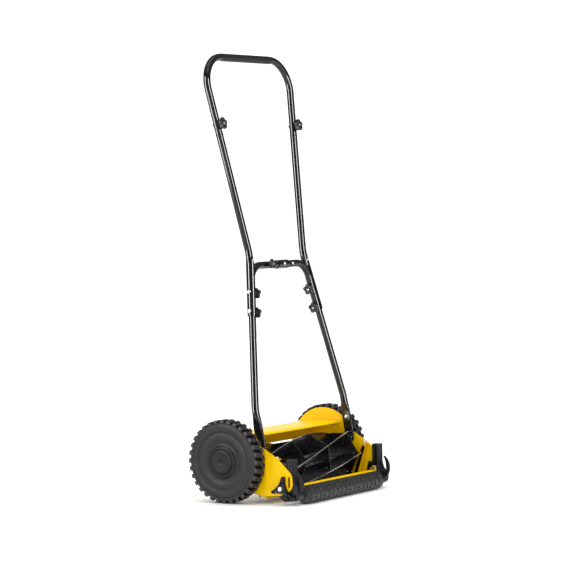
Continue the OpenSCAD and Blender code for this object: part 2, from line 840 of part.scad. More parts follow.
// Cross screws in the cross tube, and the stop screws in the legs
module handle_screws() {
    color(zinc) handle_plane() {
        for (x = [sleeve_in_x + 24, 56]) {
            translate([x, cross_rise, -12]) cylinder(r = m6_r, h = 26);
            translate([x, cross_rise, x > 50 ? tube_r : tube_r + 2]) cylinder(r = 4.6, h = 3);
        }
        for (s = [-1, 1]) mirror([s < 0 ? 1 : 0, 0, 0]) {
            translate([leg_x - 3, stop_s, 0]) rotate([0, 90, 0]) cylinder(r = m6_r, h = 9);
            translate([leg_x - 6, stop_s, 0]) rotate([0, 90, 0]) cylinder(r = 5, h = 3);
        }
    }
}

// One bolt for each star knob: head on the far side, thread up through the knob
module knob_bolt(head_at, thread_to) {
    translate([0, 0, -head_at]) cylinder(r = m6_r, h = head_at + thread_to);
    translate([0, 0, -head_at - 3]) cylinder(r = 5.6, h = 3);
}

module handle_bolts() {
    color(zinc) for (s = [-1, 1]) handle_side(s) {
        for (b = [lower_bolt_s, upper_bolt_s])
            leg_bolt_axis(b) rotate([180, 0, 0]) knob_bolt(tube_r + cradle_t, tube_r + 15);
        translate([upper_line_x(top_bolt_s), top_bolt_s, 0]) knob_bolt(tube_r, tube_r + 15);
    }
    color(zinc) handle_plane() translate([clamp_knob_x, cross_rise, 0]) knob_bolt(tube_r, tube_r + 13);
}

// ---------------------------------------------------------------- knobs

// Star knob on the +Z axis: neck at the bottom, five lobes, flat top
module star_knob(r, h) {
    lobes = 5;
    lobe_r = r * 0.36;
    difference() {
        union() {
            cylinder(r = r * 0.5, h = h);
            translate([0, 0, h * 0.3]) cylinder(r = r * 0.72, h = h * 0.7);
            for (i = [0 : lobes - 1])
                rotate(i * 360 / lobes) translate([r - lobe_r, 0, h * 0.3])
                    cylinder(r = lobe_r, h = h * 0.6);
        }
        translate([0, 0, -1]) cylinder(r = m6_r + fit, h = h + 2);
    }
}

module leg_knob(s, at) {
    color(grey) handle_side(s) leg_bolt_axis(at) rotate([180, 0, 0])
        translate([0, 0, tube_r + gap]) star_knob(15, 14);
}

module top_knob(s) {
    color(grey) handle_side(s)
        translate([upper_line_x(top_bolt_s), top_bolt_s, tube_r + gap]) star_knob(16, 14);
}

module clamp_knob() {
    color(grey) handle_plane() translate([clamp_knob_x, cross_rise, tube_r + gap]) star_knob(13, 12);
}

// Three-cornered knob with hollow sides, on the outside of a side plate
module height_knob(s) {
    corner_at = 31;
    corner_r = 4;
    hollow_at = 57;
    hollow_r = 45;
    knob_t = 12;
    color(black) side(s) difference() {
        slab(plate_out + gap, plate_out + gap + knob_t) translate([height_y, height_z]) rotate(100)
        difference() {
            union() {
                polygon([for (i = [0 : 2]) polar(corner_at - corner_r / 2, i * 120)]);
                for (i = [0 : 2])
                    rotate(i * 120) translate([corner_at - corner_r, 0]) circle(r = corner_r);
            }
            for (i = [0 : 2]) rotate(60 + i * 120) translate([hollow_at, 0]) circle(r = hollow_r);
        }
        rod_x(plate_out - 1, plate_out + 20, m8_r + fit, height_y, height_z);
    }
}

// ---------------------------------------------------------------- nodes

side_plate(-1);  // left_side_plate
side_plate(1);  // right_side_plate
top_guard();
guard_screws();
stub_axles();
axle_clips();
reel_bearing(-1);  // left_reel_bearing
reel_bearing(1);  // right_reel_bearing
adjuster_screws();
knife_pivot_bolts();
handle_pivot_bolts();
height_bolts();
wheel(-1);  // left_wheel
wheel(1);  // right_wheel
drive_ring(-1);  // left_drive_ring
drive_ring(1);  // right_drive_ring
hub_cap(-1);  // left_hub_cap
hub_cap(1);  // right_hub_cap
reel_shaft();
spider(-outer_spider_x);  // left_spider
spider(-inner_spider_x);  // inner_left_spider
spider(inner_spider_x);  // inner_right_spider
spider(outer_spider_x);  // right_spider
reel_blade(1);  // reel_blade_1
reel_blade(2);  // reel_blade_2
reel_blade(3);  // reel_blade_3
reel_blade(4);  // reel_blade_4
reel_blade(5);  // reel_blade_5
reel_blade(6);  // reel_blade_6
reel_rivets();
pinion(-1);  // left_pinion
pinion(1);  // right_pinion
knife_carrier();
bed_knife();
knife_screws();
adjuster_links();
roller_bracket(-1);  // left_roller_bracket
roller_bracket(1);  // right_roller_bracket
tie_bar();
tie_bar_screws();
roller_axle();
roller();
left_leg();
right_leg();
middle_tube(-1);  // left_middle_tube
middle_tube(1);  // right_middle_tube
upper_handle();
handle_grip();
clamp_sleeve();
handle_screws();
handle_bolts();
height_knob(-1);  // left_height_knob
height_knob(1);  // right_height_knob
leg_knob(-1, upper_bolt_s);  // left_leg_upper_knob
leg_knob(-1, lower_bolt_s);  // left_leg_lower_knob
leg_knob(1, upper_bolt_s);  // right_leg_upper_knob
leg_knob(1, lower_bolt_s);  // right_leg_lower_knob
top_knob(-1);  // left_top_knob
top_knob(1);  // right_top_knob
clamp_knob();
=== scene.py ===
"""Looks of the reel mower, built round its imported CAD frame.

Lengths are in millimetres from the ground under the wheels' axle, as in the CAD source, and become
metres in the shared frame when a mesh is made. Each shape is drawn on the right side, and side -1
mirrors it.
"""

import json
import math

import bmesh
import bpy
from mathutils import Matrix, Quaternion, Vector


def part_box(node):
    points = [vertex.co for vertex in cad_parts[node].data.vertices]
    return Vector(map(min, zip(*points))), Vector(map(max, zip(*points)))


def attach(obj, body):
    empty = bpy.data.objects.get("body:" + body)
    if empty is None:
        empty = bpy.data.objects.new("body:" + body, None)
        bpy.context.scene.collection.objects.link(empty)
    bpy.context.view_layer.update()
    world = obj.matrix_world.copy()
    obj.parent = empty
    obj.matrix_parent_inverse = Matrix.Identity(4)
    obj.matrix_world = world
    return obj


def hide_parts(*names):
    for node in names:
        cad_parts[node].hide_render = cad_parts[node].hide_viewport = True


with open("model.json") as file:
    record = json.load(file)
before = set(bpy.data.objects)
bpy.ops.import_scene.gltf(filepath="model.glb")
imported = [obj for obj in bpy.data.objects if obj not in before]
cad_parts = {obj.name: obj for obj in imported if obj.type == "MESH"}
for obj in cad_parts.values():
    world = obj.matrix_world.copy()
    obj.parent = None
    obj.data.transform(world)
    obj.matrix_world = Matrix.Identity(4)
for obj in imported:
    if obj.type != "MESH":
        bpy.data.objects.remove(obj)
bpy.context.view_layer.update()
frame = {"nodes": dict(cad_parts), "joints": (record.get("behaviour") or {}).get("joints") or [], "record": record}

MM = 0.001
TAU = math.tau
SIDES = {"left": -1, "right": 1}
X = Vector((1, 0, 0))
Z = Vector((0, 0, 1))


# ---------------------------------------------------------------- places in the frame

def joint_place(name):
    """A joint's point in the shared frame, in millimetres."""
    joint = next(j for j in frame["joints"] if j["name"] == name)
    return Vector(joint["pos_m"]) / MM


AXLE_Y = joint_place("right_wheel_spin").y
ORIGIN = Vector((0, AXLE_Y, 0))
axle = joint_place("right_wheel_spin") - ORIGIN
reel = joint_place("reel_spin") - ORIGIN
pivot = joint_place("handle_swing") - ORIGIN
roller_axis = joint_place("roller_spin") - ORIGIN


def corners(node):
    """Lowest and highest corner of a CAD node, in millimetres from under the axle."""
    low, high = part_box(node)
    return low / MM - ORIGIN, high / MM - ORIGIN


# ---------------------------------------------------------------- outlines

def fillet(points, radius, closed=True, steps=6):
    """Rounds the corners of a flat outline. radius is one number, or one for each point."""
    points = [Vector(p) for p in points]
    count = len(points)
    radii = [radius] * count if isinstance(radius, (int, float)) else radius
    rounded = []
    for i, corner in enumerate(points):
        at_end = not closed and i in (0, count - 1)
        if at_end or radii[i] == 0:
            rounded.append(corner)
            continue
        back = (points[i - 1] - corner).normalized()
        ahead = (points[(i + 1) % count] - corner).normalized()
        half = back.angle(ahead) / 2
        if half > math.radians(89):
            rounded.append(corner)
            continue
        cut = radii[i] / math.tan(half)
        middle = (back + ahead).normalized() * (radii[i] / math.sin(half))
        start, end = back * cut - middle, ahead * cut - middle
        turn = start.angle_signed(end)
        for k in range(steps + 1):
            angle = turn * k / steps
            # angle_signed counts clockwise turns as positive
            c, s = math.cos(-angle), math.sin(-angle)
            arm = Vector((start.x * c - start.y * s, start.x * s + start.y * c))
            rounded.append(corner + middle + arm)
    return rounded


def thicken(path, thickness):
    """The closed outline of a strip of this thickness, with path as its middle line."""
    left, right = [], []
    for i, point in enumerate(path):
        along = (path[min(i + 1, len(path) - 1)] - path[max(i - 1, 0)]).normalized()
        across = Vector((-along.y, along.x)) * thickness / 2
        left.append(point + across)
        right.append(point - across)
    return left + right[::-1]


def arc(centre, radius, start, end, steps):
    """Points of an arc from start to end, in degrees."""
    turns = [math.radians(start + (end - start) * i / steps) for i in range(steps + 1)]
    return [Vector((centre[0] + radius * math.cos(t), centre[1] + radius * math.sin(t))) for t in turns]


def soften(value, start, end):
    """0 before start and 1 after end, with a smooth change between them."""
    t = min(max((value - start) / (end - start), 0), 1)
    return t * t * (3 - 2 * t)


# ---------------------------------------------------------------- materials

def shader_nodes(name):
    material = bpy.data.materials.new(name)
    material.use_nodes = True
    tree = material.node_tree
    return material, tree, tree.nodes["Principled BSDF"]


def noise_node(tree, coordinates, scale, detail=4, stretch=(1, 1, 1)):
    mapping = tree.nodes.new("ShaderNodeMapping")
    mapping.inputs["Scale"].default_value = stretch
    noise = tree.nodes.new("ShaderNodeTexNoise")
    noise.inputs["Scale"].default_value = scale
    noise.inputs["Detail"].default_value = detail
    tree.links.new(coordinates, mapping.inputs["Vector"])
    tree.links.new(mapping.outputs["Vector"], noise.inputs["Vector"])
    return noise.outputs["Fac"]


def spread(tree, value, from_min, from_max, to_min, to_max):
    ranged = tree.nodes.new("ShaderNodeMapRange")
    limits = {"From Min": from_min, "From Max": from_max, "To Min": to_min, "To Max": to_max}
    for socket, number in limits.items():
        ranged.inputs[socket].default_value = number
    tree.links.new(value, ranged.inputs["Value"])
    return ranged.outputs["Result"]


def blend_colour(tree, factor, first, second):
    """Mixes two colours, each a tuple or a socket."""
    mix = tree.nodes.new("ShaderNodeMix")
    mix.data_type = "RGBA"
    tree.links.new(factor, mix.inputs["Factor"])
    for socket, colour in ((mix.inputs["A"], first), (mix.inputs["B"], second)):
        if isinstance(colour, tuple):
            socket.default_value = (*colour, 1)
        else:
            tree.links.new(colour, socket)
    return mix.outputs["Result"]


def scaled(colour, amount):
    return tuple(min(channel * amount, 1) for channel in colour)


def surface(name, colour, rough, vary=0.12, cloud=22, grain=900, bump=0.15, metal=0.0, coat=0.0,
            worn=None, stretch=(1, 1, 1), specular=0.5, rough_spread=0.08):
    """A procedural finish: cloudy tone, uneven gloss, fine relief, and lighter rubbed edges."""
    material, tree, shader = shader_nodes(name)
    place = tree.nodes.new("ShaderNodeTexCoord").outputs["Object"]
    tone = noise_node(tree, place, cloud, stretch=stretch)
    tone = spread(tree, tone, 0.3, 0.7, 0, 1)
    result = blend_colour(tree, tone, scaled(colour, 1 - vary), scaled(colour, 1 + vary))
    if worn:
        point = tree.nodes.new("ShaderNodeNewGeometry").outputs["Pointiness"]
        edge = spread(tree, point, 0.53, 0.62, 0, 0.55)
        result = blend_colour(tree, edge, result, worn)
    tree.links.new(result, shader.inputs["Base Color"])
    patches = noise_node(tree, place, cloud * 4, stretch=stretch)
    gloss = spread(tree, patches, 0.3, 0.7, rough - rough_spread, rough + rough_spread)
    tree.links.new(gloss, shader.inputs["Roughness"])
    relief = tree.nodes.new("ShaderNodeBump")
    relief.inputs["Strength"].default_value = bump
    relief.inputs["Distance"].default_value = 0.0004
    tree.links.new(noise_node(tree, place, grain, 2, stretch), relief.inputs["Height"])
    tree.links.new(relief.outputs["Normal"], shader.inputs["Normal"])
    shader.inputs["Metallic"].default_value = metal
    shader.inputs["Coat Weight"].default_value = coat
    shader.inputs["Coat Roughness"].default_value = 0.06
    shader.inputs["Specular IOR Level"].default_value = specular
    return material


def arithmetic(tree, operation, first, second=None):
    """One Math node. second is a socket, a number, or nothing where the operation takes one value."""
    node = tree.nodes.new("ShaderNodeMath")
    node.operation = operation
    tree.links.new(first, node.inputs[0])
    if isinstance(second, (int, float)):
        node.inputs[1].default_value = second
    elif second:
        tree.links.new(second, node.inputs[1])
    return node.outputs[0]


def distance_from_line(tree, place, line):
    """How far each point is from an axis that runs along X through line."""
    offset = tree.nodes.new("ShaderNodeVectorMath")
    offset.operation = "SUBTRACT"
    offset.inputs[1].default_value = (line + ORIGIN) * MM
    flat = tree.nodes.new("ShaderNodeVectorMath")
    flat.operation = "MULTIPLY"
    flat.inputs[1].default_value = (0, 1, 1)
    reach = tree.nodes.new("ShaderNodeVectorMath")
    reach.operation = "LENGTH"
    tree.links.new(place, offset.inputs[0])
    tree.links.new(offset.outputs[0], flat.inputs[0])
    tree.links.new(flat.outputs[0], reach.inputs[0])
    return reach.outputs["Value"]


def blade_paint():
    """Black paint with bare steel along the cutting edge, found by its distance from the reel's axis."""
    material = surface("blade_paint", (0.006, 0.006, 0.008), 0.26, vary=0.3, bump=0.05, grain=300, coat=0.2)
    tree = material.node_tree
    shader = tree.nodes["Principled BSDF"]
    place = tree.nodes.new("ShaderNodeTexCoord").outputs["Object"]
    reach = distance_from_line(tree, place, reel)
    ground = spread(tree, reach, (REEL_R - 1.3) * MM, (REEL_R - 1.0) * MM, 0, 1)
    painted = shader.inputs["Base Color"].links[0].from_socket
    streaks = noise_node(tree, place, 700, 2, (0.1, 1, 1))
    steel = blend_colour(tree, streaks, (0.5, 0.5, 0.5), (0.85, 0.85, 0.86))
    tree.links.new(blend_colour(tree, ground, painted, steel), shader.inputs["Base Color"])
    tree.links.new(ground, shader.inputs["Metallic"])
    return material


def wheel_plastic():
    """Grey moulding: painted highlights as pale lines along its rings, darker on the cap, and painted shade,
    darkest between the lugs.
    """
    material = surface("wheel_plastic", (0.021, 0.019, 0.021), 0.45, vary=0.08, cloud=16, grain=1400,
                       bump=0.12, worn=(0.13, 0.125, 0.13), specular=0.1)
    tree = material.node_tree
    shader = tree.nodes["Principled BSDF"]
    place = tree.nodes.new("ShaderNodeTexCoord").outputs["Object"]
    reach = distance_from_line(tree, place, axle)
    rim = corners("right_wheel")[1].z - axle.z - LUG_H
    across = tree.nodes.new("ShaderNodeSeparateXYZ")
    tree.links.new(place, across.inputs[0])
    sideways = arithmetic(tree, "ABSOLUTE", across.outputs["X"])
    face = corners("right_wheel")[1].x
    inside = spread(tree, sideways, (face - 6) * MM, (face - 4) * MM, 1, 0)
    low = spread(tree, reach, (rim + 0.5) * MM, (rim + 4.5) * MM, 1, 0)
    outer = spread(tree, reach, (rim - 1.2) * MM, (rim - 0.6) * MM, 0, 1)
    # painted shade: near-black colour on the rim between the lugs, where shade falls in the pockets
    pocket_shade = arithmetic(tree, "MULTIPLY", arithmetic(tree, "MULTIPLY", inside, low), outer)
    cap = spread(tree, reach, CAP_R * MM, (CAP_R + 0.5) * MM, 1, 0)
    plain = shader.inputs["Base Color"].links[0].from_socket
    capped = blend_colour(tree, cap, plain, (0.012, 0.011, 0.012))
    # painted highlights: thin pale rings at these radii stand in for light caught on the moulded ridges
    for ring in RING_HIGHLIGHT_RADII:
        away = arithmetic(tree, "ABSOLUTE", arithmetic(tree, "SUBTRACT", reach, ring * MM))
        ring_highlight = spread(tree, away, 0.5 * MM, 1.1 * MM, 0.8, 0)
        capped = blend_colour(tree, ring_highlight, capped, (0.085, 0.082, 0.086))
    tree.links.new(blend_colour(tree, pocket_shade, capped, (0.001, 0.001, 0.001)), shader.inputs["Base Color"])
    return material


LUGS = 32
LUG_H = 6
LUG_PART = 0.31
OUTER_ROW_W = 26
INNER_ROW_W = 12
CAP_R = 33
# radii of the painted highlight rings on the wheel's face
RING_HIGHLIGHT_RADII = (51, 71.2, 93.6)
BLADES = 6
REEL_R = max(corners(f"reel_blade_{i + 1}")[1].z for i in range(BLADES)) - reel.z
BLACK = (0.006, 0.006, 0.007)
MATERIALS = {
    "yellow_paint": surface("yellow_paint", (0.88, 0.54, 0.0), 0.3, vary=0.012, cloud=5, grain=300,
                            bump=0.012, rough_spread=0.02, specular=0.04),
    "black_paint": surface("black_paint", BLACK, 0.06, vary=0.2, cloud=12, grain=120, bump=0.002,
                           coat=0.2, rough_spread=0.01, specular=0.35),
    "blade_paint": blade_paint(),
    "wheel_plastic": wheel_plastic(),
    "black_plastic": surface("black_plastic", (0.006, 0.006, 0.008), 0.36, vary=0.15, grain=1500,
                             bump=0.1, worn=(0.09, 0.09, 0.1), specular=0.1),
    "roller_plastic": surface("roller_plastic", (0.02, 0.019, 0.021), 0.38, vary=0.15, cloud=35,
                              grain=1300, bump=0.12, worn=(0.2, 0.2, 0.21), specular=0.4),
    "gear_plastic": surface("gear_plastic", (0.03, 0.03, 0.03), 0.45, vary=0.15, grain=1200, bump=0.2),
    "knob_plastic": surface("knob_plastic", (0.014, 0.014, 0.016), 0.38, vary=0.2, grain=1500, bump=0.2,
                            worn=(0.1, 0.1, 0.11), specular=0.3),
    "grip_vinyl": surface("grip_vinyl", (0.012, 0.012, 0.014), 0.5, vary=0.15, grain=1100, bump=0.4,
                          specular=0.2),
    "zinc_steel": surface("zinc_steel", (0.5, 0.49, 0.48), 0.28, vary=0.1, cloud=120, grain=900,
                          bump=0.12, metal=1.0),
    "knife_steel": surface("knife_steel", (0.5, 0.5, 0.5), 0.36, vary=0.18, cloud=60, grain=900,
                           bump=0.25, metal=1.0, stretch=(0.15, 1, 1)),
}


# ---------------------------------------------------------------- meshes

class Solid:
    """Gathers closed shapes in millimetres, and makes one Blender object of them."""

    def __init__(self, side=1):
        self.side = side
        self.mesh = bmesh.new()

    def skin(self, rings, loop=False):
        """Joins rings of points, each with as many points as the next, and closes the ends."""
        rows = [[self.vertex(point) for point in ring] for ring in rings]
        pairs = list(zip(rows, rows[1:]))
        if loop:
            pairs.append((rows[-1], rows[0]))
        for near, far in pairs:
            for i in range(len(near)):
                k = (i + 1) % len(near)
                self.mesh.faces.new((near[i], near[k], far[k], far[i]))
        if not loop:
            self.mesh.faces.new(rows[0][::-1])
            self.mesh.faces.new(rows[-1])

    def vertex(self, point):
        placed = Vector((self.side * point[0], point[1], point[2])) + ORIGIN
        return self.mesh.verts.new(placed * MM)

    def prism(self, outline, x0, x1):
        """A flat (y, z) outline, given thickness along X."""
        self.skin([[(x, p[0], p[1]) for p in outline] for x in (x0, x1)])

    def turned(self, profile, at, axis=X, start=Z, steps=64, loop=False, shape=None):
        """Turns (radius, along) points about an axis. shape may change a radius by its angle."""
        start = (start - axis * start.dot(axis)).normalized()
        across = axis.cross(start)
        rings = []
        for radius, along in profile:
            ring = []
            for i in range(steps):
                turn = TAU * i / steps
                reach = shape(radius, turn, along) if shape else radius
                arm = start * math.cos(turn) + across * math.sin(turn)
                ring.append(at + axis * along + arm * reach)
            rings.append(ring)
        self.skin(rings, loop)

    def make(self, name, body, slot, stands_for=(), edge=0.0, smooth=38):
        """Ends the mesh as a piece that rides on body. edge is the radius of its rounded edges."""
        bmesh.ops.recalc_face_normals(self.mesh, faces=self.mesh.faces)
        data = bpy.data.meshes.new(name)
        self.mesh.to_mesh(data)
        self.mesh.free()
        data.shade_smooth()
        data.set_sharp_from_angle(angle=math.radians(smooth))
        piece = bpy.data.objects.new(name, data)
        bpy.context.scene.collection.objects.link(piece)
        data.materials.append(MATERIALS[slot])
        if edge:
            round_edges(piece, edge)
        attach(piece, body)
        if stands_for:
            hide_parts(*stands_for)
        return piece


def round_edges(piece, radius):
    bevel = piece.modifiers.new("rounded_edges", "BEVEL")
    bevel.width = radius * MM
    bevel.segments = 2
    bevel.limit_method = "ANGLE"
    bevel.angle_limit = math.radians(38)
    bevel.harden_normals = True
    bevel.use_clamp_overlap = True


# ---------------------------------------------------------------- wheels

def wheel_profile(inner, face, rim):
    """From the hub's bore round the inside, over the rim, and down the moulded outer side."""
    return [
        (6.1, inner), (13.6, inner), (15, inner + 1.4), (15, face - 10), (17, face - 8.5), (88, face - 8.5),
        (91, face - 10), (92, face - 12), (92, inner + 1), (93, inner), (rim - 1.5, inner),
        (rim, inner + 1.5),
        (rim, face - 5.5), (rim - 0.5, face - 3.6), (rim - 1.8, face - 2.0), (96.2, face - 1.5),
        (95.2, face - 1.9), (94.4, face - 1.9), (93.4, face - 0.9), (91, face - 0.2), (88, face),
        (80, face - 0.3), (75.5, face - 0.7), (73.6, face - 1.2), (72.9, face - 2.4), (71.6, face - 2.4),
        (70.9, face - 1.2), (68.5, face - 0.8), (59, face - 0.8), (53.5, face - 1.2), (51.6, face - 1.8),
        (50.6, face - 3.6), (49.2, face - 4.4), (46, face - 4.6), (42.5, face - 4.1), (39.8, face - 2.6),
        (37.4, face - 0.6), (35.6, face + 0.3), (34, face + 0.5), (CAP_R + 0.4, face - 0.1),
        (CAP_R + 0.3, face - 3), (CAP_R + 0.3, face - 2), (13, face - 2), (13, face - 8), (6.1, face - 8),
    ]


def lug_rings(angle, x0, x1, rim, skew):
    """Rings of one tread lug, from inside the rim out to its rounded top."""
    rings = []
    half = TAU / LUGS * LUG_PART
    for reach, shrink in ((rim - 1, 1.0), (rim + 4.4, 0.95), (rim + 5.5, 0.9), (rim + LUG_H, 0.8)):
        inset = (1 - shrink) * 9
        corner = 0.3
        ring = []
        for k in range(16):
            turn = TAU * (k + 0.5) / 16
            c, s = math.cos(turn), math.sin(turn)
            # a rounded rectangle, as a superellipse
            u = math.copysign(abs(c) ** corner, c)
            v = math.copysign(abs(s) ** corner, s)
            x = (x0 + x1) / 2 + v * ((x1 - x0) / 2 - inset)
            swing = angle + (half * shrink) * u + skew * v
            ring.append((x, reach * math.cos(swing), axle.z + reach * math.sin(swing)))
        rings.append(ring)
    return rings


def wheel(word, side):
    low, high = corners("right_wheel")
    inner, face = low.x, high.x
    rim = (high.z - low.z) / 2 - LUG_H
    shape = Solid(side)
    shape.turned(wheel_profile(inner, face, rim), axle, steps=160, loop=True)
    pitch = TAU / LUGS
    skew = 0.02
    outer_row = (0, face - 3 - OUTER_ROW_W, face - 2.6, -skew)
    inner_row = (0.5, inner + 0.4, inner + INNER_ROW_W, skew)
    for i in range(LUGS):
        for shift, x0, x1, lean in (outer_row, inner_row):
            shape.skin(lug_rings((i + shift) * pitch, x0, x1, rim, lean))
    shape.make(f"{word}_wheel_moulding", f"{word}_wheel_body", "wheel_plastic", [f"{word}_wheel"])


def hub_cap(word, side):
    low, high = corners("right_hub_cap")
    top = high.x
    shape = Solid(side)
    shape.turned([
        (20, low.x), (CAP_R, low.x), (CAP_R, top - 4.2), (CAP_R - 0.5, top - 2.6), (CAP_R - 2, top - 1.1),
        (CAP_R - 4.5, top - 0.25), (CAP_R - 7, top), (22, top - 0.15), (19, top - 0.5), (12, top - 0.75),
        (4.6, top - 0.8), (3.8, top - 1.3), (1, top - 1.4),
    ], axle, steps=120)
    shape.make(f"{word}_cap_moulding", f"{word}_wheel_body", "wheel_plastic", [f"{word}_hub_cap"])


# ---------------------------------------------------------------- frame

PLATE_R = 97
BEAD_Y = -104


def plate_outline():
    """The round cover behind the wheel, and the soft wing to the rear."""
    cover = arc((0, axle.z), PLATE_R, -130, 156.5, 110)
    wing = fillet([
        (-89.5, 144.5), (-106, 134), (-140, 115), (-181, 77), (-184, 48), (-170, 33), (-146, 23),
        (-97, 20), (-72, 26.5), (-62, 31)
    ], [0, 40, 70, 20, 20, 25, 30, 30, 14, 0], closed=False, steps=8)
    return cover + wing[1:-1]


def slice_mesh(mesh, point, normal):
    """Cuts a mesh's faces along a plane, and keeps both halves."""
    everything = mesh.verts[:] + mesh.edges[:] + mesh.faces[:]
    place = (Vector(point) + ORIGIN) * MM
    bmesh.ops.bisect_plane(mesh, geom=everything, plane_co=place, plane_no=normal)


def cut_slot(mesh):
    """Opens the upright slot near the wing's rear edge, with its ends rounded."""
    middle_y, half, low_z, high_z = -172.5, 3, 44, 72
    rounding = 2
    for y in (middle_y - half, middle_y, middle_y + half):
        slice_mesh(mesh, (0, y, 0), (0, 1, 0))
    for z in (low_z, high_z):
        slice_mesh(mesh, (0, 0, z), (0, 0, 1))

    def place(point):
        return point.y / MM - AXLE_Y - middle_y, point.z / MM

    inside = []
    for face in mesh.faces:
        y, z = place(face.calc_center_median())
        if abs(y) < half and low_z < z < high_z:
            inside.append(face)
    bmesh.ops.delete(mesh, geom=inside, context="FACES")
    for vertex in mesh.verts:
        y, z = place(vertex.co)
        if abs(abs(y) - half) < 0.01 and min(abs(z - low_z), abs(z - high_z)) < 0.01:
            vertex.co.z += math.copysign(rounding * MM, (low_z + high_z) / 2 - z)


def side_plate(word, side):
    """Pressed sheet with a soft upright bead, a slot in its wing and a lip along its edge."""
    outer = corners("right_side_plate")[1].x
    sheet_t = 2
    bead_w, bead_h, bead_step, lip = 9.8, 1.4, 1.4, 1.0
    shape = Solid(side)
    mesh = shape.mesh
    rim = [shape.vertex((outer, p.x, p.y)) for p in plate_outline()]
    mesh.faces.new(rim)
    for width in (1.2, 2.2):
        bmesh.ops.inset_region(mesh, faces=[max(mesh.faces, key=lambda f: f.calc_area())],
                               thickness=width * MM, use_even_offset=True)
    for step in range(-7, 8):
        slice_mesh(mesh, (0, BEAD_Y + step * bead_step, 0), (0, 1, 0))
    for level in (32, 40, 48, 110, 118, 126):
        slice_mesh(mesh, (0, 0, level), (0, 0, 1))
    cut_slot(mesh)
    for vertex in mesh.verts:
        away = (vertex.co.y / MM - AXLE_Y - BEAD_Y) / bead_w
        level = vertex.co.z / MM
        fade = soften(level, 30, 48) * (1 - soften(level, 110, 128))
        rise = bead_h * math.cos(away * math.pi / 2) ** 2 * fade if abs(away) < 1 else 0
        vertex.co.x += side * rise * MM
    for vertex in rim:
        vertex.co.x += side * lip * MM
    mesh.normal_update()
    sheet = shape.make(f"{word}_plate_pressing", "chassis", "yellow_paint", [f"{word}_side_plate"])
    thickness = sheet.modifiers.new("sheet", "SOLIDIFY")
    thickness.thickness = sheet_t * MM
    facing = sum(f.normal.x * f.area for f in sheet.data.polygons) * side
    thickness.offset = -1 if facing > 0 else 1
    thickness.use_even_offset = True
    round_edges(sheet, 0.5)


def adjuster_tab(word, side):
    outer = corners("right_side_plate")[1].x
    low, high = corners("adjuster_screws")
    tab = Solid(side)
    reach = 4
    level = low.z + 2.7
    path = fillet([(outer - 16, level), (outer - 3, level), (outer - 3, level - 7)], 3, closed=False)
    outline = thicken(path, 2)
    tab.skin([[(p.x, y, p.y) for p in outline] for y in (low.y - reach, high.y + reach)])
    tab.make(f"{word}_adjuster_tab", "chassis", "yellow_paint", edge=0.4)


def top_guard():
    """Bent sheet over the reel: rear lip, flat top and deep front flange, with end flanges."""
    low, high = corners("top_guard")
    path = fillet([
        (low.y + 1, high.z - 6), (low.y + 1, high.z - 1), (high.y - 1, high.z - 1), (high.y - 1, low.z)
    ], [0, 2.6, 4, 0], closed=False, steps=8)
    guard = Solid()
    guard.prism(thicken(path, 2), low.x, high.x)
    flange = fillet([(-41, 151), (-41, high.z - 2), (29, high.z - 2), (29, 151)], [8, 0, 0, 8])
    for s in (-1, 1):
        guard.prism(flange, s * high.x, s * (high.x - 2))
    guard.make("guard_pressing", "chassis", "yellow_paint", ["top_guard"], edge=0.5)


# ---------------------------------------------------------------- bolts and screws

def dome_head(shape, at, axis, radius, height, socket=0.0):
    """A domed screw head. at is the middle of its flat side, and axis points out of its dome."""
    profile = [(radius, 0), (radius, height * 0.3), (radius * 0.93, height * 0.6),
               (radius * 0.74, height * 0.86), (radius * 0.45, height * 0.98)]
    if socket:
        profile += [(socket, height), (socket * 0.9, height * 0.45)]
    profile.append((radius * 0.1, profile[-1][1]))
    shape.turned(profile, at, axis, steps=32)


def hex_nut(shape, at, axis, across, height, bore):
    """A hexagon nut, chamfered on its far face, with its bore."""
    def hexagon(radius, turn, along):
        if radius <= bore:
            return radius
        apothem = across / 2
        wedge = (turn + math.pi / 6) % (math.pi / 3) - math.pi / 6
        return min(radius, apothem / math.cos(wedge))
    corner = across / 2 / math.cos(math.pi / 6)
    shape.turned([
        (bore, 0), (corner, 0), (corner, height * 0.84), (corner * 0.88, height), (bore + 0.3, height),
        (bore, height - 0.4)
    ], at, axis, steps=48, loop=True, shape=hexagon)


def threaded_end(shape, at, axis, radius, length):
    """The end of a thread: a row of fine ridges and a small chamfer."""
    pitch = 1.0
    profile = []
    for i in range(int(length / pitch)):
        profile += [(radius, i * pitch), (radius - 0.35, (i + 0.5) * pitch)]
    profile += [(radius, length - 0.8), (radius - 0.8, length)]
    shape.turned(profile, at, axis, steps=24)


# ---------------------------------------------------------------- reel

BLADE_TWIST = math.radians(85)
BLADE_START = math.radians(199)
BLADE_IN_R = 24


def blade_direction(i, x, length):
    """Angle of blade i about the reel's axis, at x."""
    return BLADE_START - BLADE_TWIST * (x + length / 2) / length + i * TAU / BLADES


def reel_point(x, angle, radial, round_way):
    """A point at radial from the reel's axis, and round_way square to that."""
    c, s = math.cos(angle), math.sin(angle)
    return (x, reel.y + radial * c - round_way * s, reel.z + radial * s + round_way * c)


def reel_blades():
    length = corners("reel_blade_1")[1].x * 2
    steps = 60
    section = [
        (BLADE_IN_R, -1.5), (REEL_R - 1.6, -1.5), (REEL_R - 0.9, -1.35), (REEL_R, 0.2), (REEL_R, 1.3),
        (REEL_R - 0.4, 1.5), (BLADE_IN_R, 1.5)
    ]
    for i in range(BLADES):
        blade = Solid()
        rings = []
        for k in range(steps + 1):
            x = -length / 2 + length * k / steps
            rings.append([reel_point(x, blade_direction(i, x, length), a, b) for a, b in section])
        blade.skin(rings)
        blade.make(f"helical_blade_{i + 1}", "reel", "blade_paint", [f"reel_blade_{i + 1}"])


